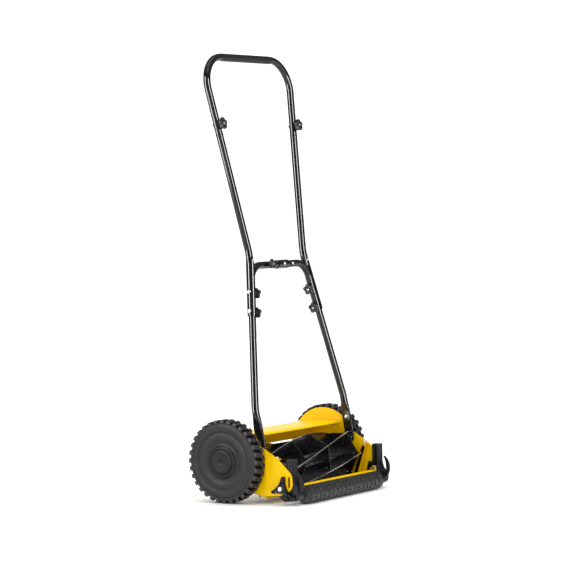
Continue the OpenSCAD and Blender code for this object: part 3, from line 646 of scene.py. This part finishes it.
def reel_rivets():
    """A domed rivet holds each blade to its ear on each spider."""
    length = corners("reel_blade_1")[1].x * 2
    rivets = Solid()
    for spider in ("left_spider", "inner_left_spider", "inner_right_spider", "right_spider"):
        low, high = corners(spider)
        x = (low.x + high.x) / 2
        for i in range(BLADES):
            angle = blade_direction(i, x, length)
            outwards = Vector(reel_point(0, angle, 0, -1)) - reel
            dome_head(rivets, Vector(reel_point(x, angle, 50.5, -1.4)), outwards, 2.6, 1.4)
    rivets.make("rivet_heads", "reel", "zinc_steel", ["reel_rivets"])


# ---------------------------------------------------------------- roller and its frame

BANDS = 17
GROOVE_W = 3
GROOVE_D = 3.2
END_W = 0.9


def roller():
    """Ribbed roller: bands with grooves between them, and notches staggered from band to band."""
    low, high = corners("roller")
    radius = (high.z - low.z) / 2 - 0.05
    band_w = (high.x - low.x) / BANDS
    notches, notch_d = 9, 1.1
    bore_r = 5.1
    bands = Solid()

    def notched(reach, turn, along):
        band = min(int(along / band_w), BANDS - 1)
        place = (turn / TAU * notches + 0.5 * (band % 2)) % 1
        cut = soften(0.09 - abs(place - 0.5), 0, 0.03)
        across = 1 - abs(2 * (along / band_w % 1) - 1)
        return reach - notch_d * cut * soften(across, 0.2, 0.3)

    profile = [(bore_r, 0), (radius - 7, 0), (radius - 2.6, 0.6)]
    for band in range(BANDS):
        x0 = band * band_w
        first = END_W if band == 0 else GROOVE_W / 2
        last = END_W if band == BANDS - 1 else GROOVE_W / 2
        profile += [(radius - GROOVE_D, x0 + first), (radius - 0.6, x0 + first + 0.2),
                    (radius, x0 + first + 0.8)]
        profile += [(radius, x0 + band_w * f) for f in (0.24, 0.5, 0.76)]
        profile += [(radius, x0 + band_w - last - 0.8), (radius - 0.6, x0 + band_w - last - 0.2),
                    (radius - GROOVE_D, x0 + band_w - last)]
    length = high.x - low.x
    profile += [(radius - 2.6, length - 0.6), (radius - 7, length), (bore_r, length)]
    left_end = Vector((low.x, roller_axis.y, roller_axis.z))
    bands.turned(profile, left_end, steps=144, loop=True, shape=notched)
    bands.make("ribbed_roller", "roller_body", "roller_plastic", ["roller"], smooth=30)


def tie_bar():
    """Folded strip between the brackets, with a soft fold along each side and a tab at each end."""
    low, high = corners("tie_bar")
    tab_w, tab_rise, strip_t = 12, 12, 1.6
    rear, top = low.y + tab_w / 2, high.z - tab_rise
    path = fillet([
        (rear + 0.8, top - 5), (rear + 0.8, top - 0.8), (high.y - 0.8, top - 0.8), (high.y - 0.8, low.z)
    ], [0, 2, 2, 0], closed=False, steps=6)
    strip = Solid()
    strip.prism(thicken(path, strip_t), low.x, high.x)
    tab = fillet([(low.y, top - 3), (low.y + tab_w, top - 3), (low.y + tab_w, high.z), (low.y, high.z)],
                 [0, 0, 4, 4])
    for x0 in (low.x, high.x - strip_t):
        strip.prism(tab, x0, x0 + strip_t)
    strip.make("folded_tie_bar", "roller_frame", "yellow_paint", ["tie_bar"], edge=0.3)


# ---------------------------------------------------------------- handle

TUBE_R = 9.5
GRIP = corners("handle_grip")
grip_middle = (GRIP[0] + GRIP[1]) / 2
LEAN = math.atan2(grip_middle.y - pivot.y, grip_middle.z - pivot.z)
GRIP_S = math.hypot(grip_middle.y - pivot.y, grip_middle.z - pivot.z)
LEG_X = 205
LEG_BEND_S = 111
FLARE_X, FLARE_S = 121, 485
GRIP_X = 199
CROSS_S = 469
CORNER_R = 75
SPIGOT_S = 806
LEG_SLOPE = (LEG_X - FLARE_X) / (FLARE_S - LEG_BEND_S)
UPPER_SLOPE = (GRIP_X - FLARE_X) / (GRIP_S - FLARE_S)
LEG_BOLTS = {"lower": 353, "upper": 402}
TOP_BOLT_S = 833
CLAMP_X = -52
THREAD_R = 2.95
KNOB_GAP = 0.3
UP = Vector((0, math.sin(LEAN), math.cos(LEAN)))
OUT = Vector((0, -math.cos(LEAN), math.sin(LEAN)))


def on_handle(x, s, out=0):
    """A point in the handle's leaning plane: x across, s up from the pivots, out to the rear."""
    return pivot + X * x + UP * s + OUT * out


def leg_line(s):
    return LEG_X - LEG_SLOPE * (s - LEG_BEND_S)


def upper_line(s):
    return FLARE_X + UPPER_SLOPE * (s - FLARE_S)


def sweep(shape, path, size, steps=32):
    """Sweeps an oval along an (x, s) path. size(x, s) gives its half width, half depth and squareness."""
    rings = []
    for i, point in enumerate(path):
        along = (path[min(i + 1, len(path) - 1)] - path[max(i - 1, 0)]).normalized()
        across = Vector((along.y, -along.x))
        wide, pocket_shade, square = size(point.x, point.y)
        ring = []
        for k in range(steps):
            c, s = math.cos(TAU * k / steps), math.sin(TAU * k / steps)
            u = math.copysign(abs(c) ** (2 / square), c) * wide
            v = math.copysign(abs(s) ** (2 / square), s) * pocket_shade
            ring.append(on_handle(point.x + across.x * u, point.y + across.y * u, v))
        rings.append(ring)
    shape.skin(rings)


def round_tube(x, s):
    return TUBE_R, TUBE_R, 2


def leg_section(x, s):
    """A flattened strap with a round foot below, rounding up into the tube."""
    foot = 13
    strap_half_t = 3.1
    flat = 1 - soften(s, 62, 96)
    wide = TUBE_R + (strap_half_t - TUBE_R) * flat
    pocket_shade = TUBE_R + (foot - TUBE_R) * flat
    if s < 0:
        pocket_shade = math.sqrt(max(foot ** 2 - s ** 2, 0.8))
    return wide, pocket_shade, 2 + 2.6 * flat


def leg_path(end_x):
    corner_x = leg_line(CROSS_S)
    bends = fillet([(LEG_X, 100), (LEG_X, LEG_BEND_S + 1), (corner_x, CROSS_S), (end_x, CROSS_S)],
                   [0, 90, 50, 0], closed=False, steps=14)
    foot = [Vector((LEG_X, -12.98 * math.cos(math.pi / 2 * i / 8))) for i in range(8)]
    strap = [Vector((LEG_X, s)) for s in range(0, 100, 5)]
    return foot + strap + bends[1:]


def legs():
    for word, side, end_x in (("left", -1, -34), ("right", 1, 50)):
        leg = Solid(side)
        sweep(leg, leg_path(end_x), leg_section)
        if side > 0:
            thin = [Vector((x, CROSS_S)) for x in (60, 40, 0, -64)]
            sweep(leg, thin, lambda x, s: (TUBE_R - 1.5, TUBE_R - 1.5, 2))
        leg.make(f"{word}_leg_tube", "handle", "black_paint", [f"{word}_leg"])


def cradle(shape):
    """Half shell round the outer half of the leg, at the foot of a middle tube."""
    rings = []
    low_s, high_s = 342, 492
    steps = 30
    for i in range(steps + 1):
        s = low_s + (high_s - low_s) * i / steps
        lift = 1 - soften(s, 470, high_s) * 0.55
        edge = soften(s, low_s, low_s + 1.5)
        outer = TUBE_R + 0.15 + 2.8 * (0.7 + 0.3 * edge)
        ring = []
        for k in range(15):
            turn = math.pi * lift * (k / 14 - 0.5)
            ring.append((outer, turn))
        ring += [(TUBE_R + 0.12, turn) for _, turn in reversed(ring)]
        slope = math.atan(LEG_SLOPE)
        points = []
        for radius, turn in ring:
            u = radius * math.cos(turn)
            across, up = u * math.cos(slope), u * math.sin(slope)
            points.append(on_handle(leg_line(s) + across, s + up, radius * math.sin(turn)))
        rings.append(points)
    shape.skin(rings)


def middle_tubes():
    bend_s = FLARE_S + 3 / (LEG_SLOPE + UPPER_SLOPE)
    for word, side in SIDES.items():
        tube = Solid(side)
        path = fillet([(leg_line(462) + 3, 462), (upper_line(bend_s), bend_s),
                       (upper_line(SPIGOT_S), SPIGOT_S)], [0, 120, 0], closed=False, steps=12)
        sweep(tube, path, round_tube)
        cradle(tube)
        tube.make(f"{word}_middle_tubing", "handle", "black_paint", [f"{word}_middle_tube"])


def upper_handle():
    """The U-shaped grip tube; each lower end has a small swaged collar."""
    bar = Solid()
    path = fillet([(-upper_line(SPIGOT_S), SPIGOT_S), (-GRIP_X, GRIP_S), (GRIP_X, GRIP_S),
                   (upper_line(SPIGOT_S), SPIGOT_S)], [0, CORNER_R, CORNER_R, 0], closed=False, steps=24)
    sweep(bar, path, round_tube)
    slope = math.atan(UPPER_SLOPE)
    for s in (-1, 1):
        along = X * (s * math.sin(slope)) + UP * math.cos(slope)
        collar = [(TUBE_R - 0.5, -1.6), (TUBE_R + 0.2, -1.4), (TUBE_R + 0.7, -0.6), (TUBE_R + 0.7, 1.2),
                  (TUBE_R + 0.2, 2.2), (TUBE_R - 0.5, 2.4)]
        bar.turned(collar, on_handle(s * upper_line(SPIGOT_S), SPIGOT_S), along, steps=40)
    bar.make("grip_tubing", "handle", "black_paint", ["upper_handle"])


def handle_grip():
    """Thin matt sleeve on the top bar, with a rolled bead at each end."""
    low, high = corners("handle_grip")
    length = high.x - low.x
    radius = TUBE_R + 0.65
    bead, bead_w, stretches = 0.13, 2.4, 24
    sleeve = Solid()
    profile = [(TUBE_R + 0.02, 0), (radius, 0.2), (radius + bead, 1.2), (radius, bead_w)]
    profile += [(radius, bead_w + (length - 2 * bead_w) * i / stretches) for i in range(1, stretches + 1)]
    profile += [(radius + bead, length - 1.2), (radius, length - 0.2), (TUBE_R + 0.02, length)]
    sleeve.turned(profile, on_handle(low.x, GRIP_S), steps=48, loop=True)
    sleeve.make("grip_sleeve", "handle", "grip_vinyl", ["handle_grip"])


def clamp_sleeve():
    low, high = corners("clamp_sleeve")
    radius = TUBE_R + 2
    sleeve = Solid()
    length = high.x - low.x
    sleeve.turned([
        (TUBE_R + 0.02, 0), (radius - 0.8, 0), (radius, 0.8), (radius, length - 0.8), (radius - 0.8, length),
        (TUBE_R + 0.02, length)
    ], on_handle(low.x, CROSS_S), steps=48, loop=True)
    sleeve.make("cross_tube_sleeve", "handle", "black_paint", ["clamp_sleeve"])


def handle_hardware():
    """Domed bolt heads, thread ends in the knobs, and the cross and stop screws."""
    slope = math.atan(LEG_SLOPE)
    outwards = X * math.cos(slope) + UP * math.sin(slope)
    for word, side in SIDES.items():
        bolts = Solid(side)
        for s in LEG_BOLTS.values():
            dome_head(bolts, on_handle(leg_line(s), s) + outwards * (TUBE_R + 2.6), outwards, 5.6, 3.2)
            threaded_end(bolts, on_handle(leg_line(s), s) - outwards * TUBE_R, -outwards, THREAD_R, 15)
        top = on_handle(upper_line(TOP_BOLT_S), TOP_BOLT_S)
        dome_head(bolts, top - OUT * (TUBE_R - 0.6), -OUT, 5.6, 3.4)
        threaded_end(bolts, top + OUT * TUBE_R, OUT, THREAD_R, 15)
        if side > 0:
            clamp = on_handle(CLAMP_X, CROSS_S)
            dome_head(bolts, clamp - OUT * (TUBE_R - 0.6), -OUT, 5.6, 3.4)
            threaded_end(bolts, clamp + OUT * TUBE_R, OUT, THREAD_R, 13)
        stands = ["handle_bolts"] if side > 0 else []
        bolts.make(f"{word}_handle_bolts", "handle", "zinc_steel", stands)
        screws = Solid(side)
        stop = on_handle(LEG_X - 3.2, 54)
        dome_head(screws, stop, -X, 5, 3, socket=2)
        if side > 0:
            for x, radius in ((14, TUBE_R + 2), (56, TUBE_R - 1.5)):
                dome_head(screws, on_handle(x, CROSS_S, radius - 0.6), OUT, 4.6, 3, socket=2)
        stands = ["handle_screws"] if side > 0 else []
        screws.make(f"{word}_handle_screws", "handle", "zinc_steel", stands)


# ---------------------------------------------------------------- knobs

def star_knob(name, side, base, axis, radius, height):
    """Five-lobed knob on a short neck, with a shallow dish round the end of its bolt."""
    def lobed(reach, turn, along):
        valley = (0.5 - 0.5 * math.cos(5 * turn)) ** 1.5
        return reach * (1 - 0.24 * valley * soften(reach, radius * 0.5, radius * 0.85))
    shape = Solid(side)
    rows = [
        (3.1, 0), (0.46, 0.0), (0.5, 0.05), (0.5, 0.26), (0.55, 0.3), (0.85, 0.31), (0.96, 0.36), (1.0, 0.46),
        (1.0, 0.74), (0.96, 0.87), (0.86, 0.96), (0.7, 1.0), (0.56, 1.0), (0.5, 0.96), (0.44, 0.9), (0.3, 0.9)
    ]
    profile = [(3.1, 0)] + [(radius * r, height * h) for r, h in rows[1:]] + [(3.1, height * 0.9)]
    shape.turned(profile, base, axis, start=UP, steps=80, loop=True, shape=lobed)
    shape.make(f"{name}_moulding", f"{name}_body", "knob_plastic", [name])


def star_knobs():
    slope = math.atan(LEG_SLOPE)
    inwards = -(X * math.cos(slope) + UP * math.sin(slope))
    for word, side in SIDES.items():
        for place, s in LEG_BOLTS.items():
            base = on_handle(leg_line(s), s) + inwards * (TUBE_R + KNOB_GAP)
            star_knob(f"{word}_leg_{place}_knob", side, base, inwards, 15, 14)
        base = on_handle(upper_line(TOP_BOLT_S), TOP_BOLT_S, TUBE_R + KNOB_GAP)
        star_knob(f"{word}_top_knob", side, base, OUT, 16, 14)
    star_knob("clamp_knob", 1, on_handle(CLAMP_X, CROSS_S, TUBE_R + KNOB_GAP), OUT, 13, 12)


def knob_reach(turn):
    """Reach of a height knob's edge at an angle from one of its three corners."""
    corner_at, corner_r, hollow_at, hollow_r = 27, 4, 57, 45
    third = TAU / 3
    from_corner = abs((turn + third / 2) % third - third / 2)
    from_hollow = third / 2 - from_corner
    reach = corner_at
    if corner_at * math.sin(from_corner) < corner_r:
        reach = corner_at * math.cos(from_corner)
        reach += math.sqrt(corner_r ** 2 - (corner_at * math.sin(from_corner)) ** 2)
    if hollow_at * math.sin(from_hollow) < hollow_r:
        hollow = math.sqrt(hollow_r ** 2 - (hollow_at * math.sin(from_hollow)) ** 2)
        reach = min(reach, hollow_at * math.cos(from_hollow) - hollow)
    return reach


def height_knobs():
    """Three-cornered knobs with hollow sides; a nut and thread show in the middle."""
    widest = 31
    plain_r = 8.9
    # The bolt's head lies behind the plate and the bracket's wall, with a little play
    head_back = 10.6
    bolt_low, bolt_high = corners("height_bolts")
    middle = (bolt_low + bolt_high) / 2
    outer = corners("right_side_plate")[1].x
    at = Vector((outer + 0.3, middle.y, middle.z))

    def cornered(reach, turn, along):
        return reach * knob_reach(turn) / widest if reach > plain_r else reach

    for word, side in SIDES.items():
        knob = Solid(side)
        start = Vector((0, math.cos(math.radians(100)), math.sin(math.radians(100))))
        knob.turned([
            (4.1, 0), (29, 0), (30.4, 0.7), (widest, 1.8), (widest, 8.6), (30.2, 9.8), (28.6, 10.6),
            (26.6, 10.9), (25.8, 11.6), (24.6, 12), (19, 12), (8.8, 10.4), (8.2, 10.2), (7.9, 9), (4.1, 9)
        ], at, X, start=start, steps=180, loop=True, shape=cornered)
        knob.make(f"{word}_height_knob_moulding", f"{word}_height_knob_body", "black_plastic",
                  [f"{word}_height_knob"])
        bolt = Solid(side)
        hex_nut(bolt, at + X * 9, X, 10.6, 4, 3.9)
        threaded_end(bolt, at + X * 5, X, 3.9, 11.5)
        dome_head(bolt, Vector((outer - head_back, middle.y, middle.z)), -X, 8, 3.4)
        bolt.make(f"{word}_height_bolt_end", "chassis", "zinc_steel", ["height_bolts"] if side > 0 else [])


# ---------------------------------------------------------------- CAD nodes that stay

def bracket_details(word, side):
    """Moulded ribs and the flared foot of the column of a bracket."""
    low, high = corners("right_roller_bracket")
    column_rear, column_front = -183.7, -165
    detail = Solid(side)
    foot = fillet([(column_rear + 1, 84), (column_rear - 2, 66), (column_rear - 6, 52), (-197, 44),
                   (-197, 38), (column_rear + 1, 38)], [0, 14, 8, 4, 0, 0])
    detail.prism(foot, low.x + 1.5, high.x - 2)
    for y in (column_rear + 2.4, (column_rear + column_front) / 2, column_front - 2.4):
        rib = fillet([(y - 0.9, 54), (y + 0.9, 54), (y + 0.9, 110), (y - 0.9, 110)], 0.8)
        detail.prism(rib, high.x - 0.4, high.x)
    for x in (low.x + 2.6, high.x - 3.4):
        rear_rib = fillet([(column_rear - 0.9, 70), (column_rear + 1, 70), (column_rear + 1, 111),
                           (column_rear - 0.4, 111)], 0.3)
        detail.prism(rear_rib, x - 0.9, x + 0.9)
    detail.make(f"{word}_bracket_ribs", "roller_frame", "black_plastic", edge=0.3)


CAD_EDGES = {"left_roller_bracket": 1.1, "right_roller_bracket": 1.1}


def dress_cad_nodes():
    """Gives every CAD node its slot's material, and rounds the edges of those that stay."""
    slots = {part["node"]: part["material_slot"] for part in frame["record"]["subparts"]}
    for name, node in frame["nodes"].items():
        material = MATERIALS[slots[name]]
        if not node.data.materials:
            node.data.materials.append(material)
        for slot in node.material_slots:
            slot.material = material
        weld = node.modifiers.new("weld", "WELD")
        weld.merge_threshold = 0.01 * MM
        round_edges(node, CAD_EDGES.get(name, 0.35))


# ---------------------------------------------------------------- studio

def camera():
    """Behind the mower's left side, low and far off, with a long lens."""
    yaw, pitch, roll = 0.591, 0.040, -0.019
    ahead = Vector((math.cos(yaw) * math.cos(pitch), math.sin(yaw) * math.cos(pitch), -math.sin(pitch)))
    data = bpy.data.cameras.new("camera")
    data.lens = 149.4
    data.clip_end = 100
    eye = bpy.data.objects.new("camera", data)
    eye.rotation_mode = "QUATERNION"
    eye.rotation_quaternion = ahead.to_track_quat("-Z", "Y") @ Quaternion((0, 0, 1), roll)
    eye.location = (-5.0524, -3.3648, 0.7804)
    bpy.context.scene.collection.objects.link(eye)
    bpy.context.scene.camera = eye


def softbox(name, place, aim, size, power, gloss_only=False):
    """A rectangular lamp; one for gloss only is seen in reflections but lights no matt surface."""
    data = bpy.data.lights.new(name, "AREA")
    data.shape = "RECTANGLE"
    data.size, data.size_y = size
    data.energy = power
    lamp = bpy.data.objects.new(name, data)
    lamp.location = place
    lamp.rotation_euler = (Vector(aim) - Vector(place)).to_track_quat("-Z", "Y").to_euler()
    lamp.visible_diffuse = not gloss_only
    bpy.context.scene.collection.objects.link(lamp)


def white_room():
    """White to the camera and for soft light, but dimmer in reflections, so that gloss stays dark."""
    world = bpy.data.worlds.new("studio")
    bpy.context.scene.world = world
    world.use_nodes = True
    tree = world.node_tree
    rays = tree.nodes.new("ShaderNodeLightPath")
    level = tree.nodes.new("ShaderNodeMapRange")
    plain_level, gloss_level = 1.32, 0.2
    level.inputs["To Min"].default_value = plain_level
    level.inputs["To Max"].default_value = gloss_level
    tree.links.new(rays.outputs["Is Glossy Ray"], level.inputs["Value"])
    background = tree.nodes["Background"]
    background.inputs["Color"].default_value = (1, 1, 1, 1)
    tree.links.new(level.outputs["Result"], background.inputs["Strength"])


def floor():
    material, tree, shader = shader_nodes("floor_paper")
    place = tree.nodes.new("ShaderNodeTexCoord").outputs["Object"]
    fibre = noise_node(tree, place, 60)
    paper = blend_colour(tree, fibre, (0.935, 0.935, 0.94), (0.95, 0.95, 0.955))
    tree.links.new(paper, shader.inputs["Base Color"])
    shader.inputs["Roughness"].default_value = 0.9
    shader.inputs["Specular IOR Level"].default_value = 0.1
    mesh = bpy.data.meshes.new("floor")
    half = 30
    mesh.from_pydata([(-half, -half, 0), (half, -half, 0), (half, half, 0), (-half, half, 0)], [],
                     [(0, 1, 2, 3)])
    sheet = bpy.data.objects.new("floor", mesh)
    bpy.context.scene.collection.objects.link(sheet)
    mesh.materials.append(material)


def studio():
    scene = bpy.context.scene
    scene.view_settings.view_transform = "Standard"
    white_room()
    floor()
    softbox("top_softbox", (-0.3, -0.4, 3.4), (0, 0, 0.3), (2.6, 2.6), 24)
    softbox("left_strip", (-3.1, 1.5, 1.3), (0, 0, 0.6), (0.9, 3.2), 270, gloss_only=True)
    softbox("rear_strip", (-0.5, -3.4, 1.3), (0, 0, 0.6), (0.9, 3.2), 270, gloss_only=True)
    softbox("far_panel", (5.2, 3.9, 0.9), (0, 0, 0.2), (5.0, 1.6), 34)
    camera()


# ---------------------------------------------------------------- the mower

def mower():
    dress_cad_nodes()
    for word, side in SIDES.items():
        wheel(word, side)
        hub_cap(word, side)
        side_plate(word, side)
        adjuster_tab(word, side)
        bracket_details(word, side)
    top_guard()
    reel_blades()
    reel_rivets()
    roller()
    tie_bar()
    legs()
    middle_tubes()
    upper_handle()
    handle_grip()
    clamp_sleeve()
    handle_hardware()
    star_knobs()
    height_knobs()


mower()
studio()
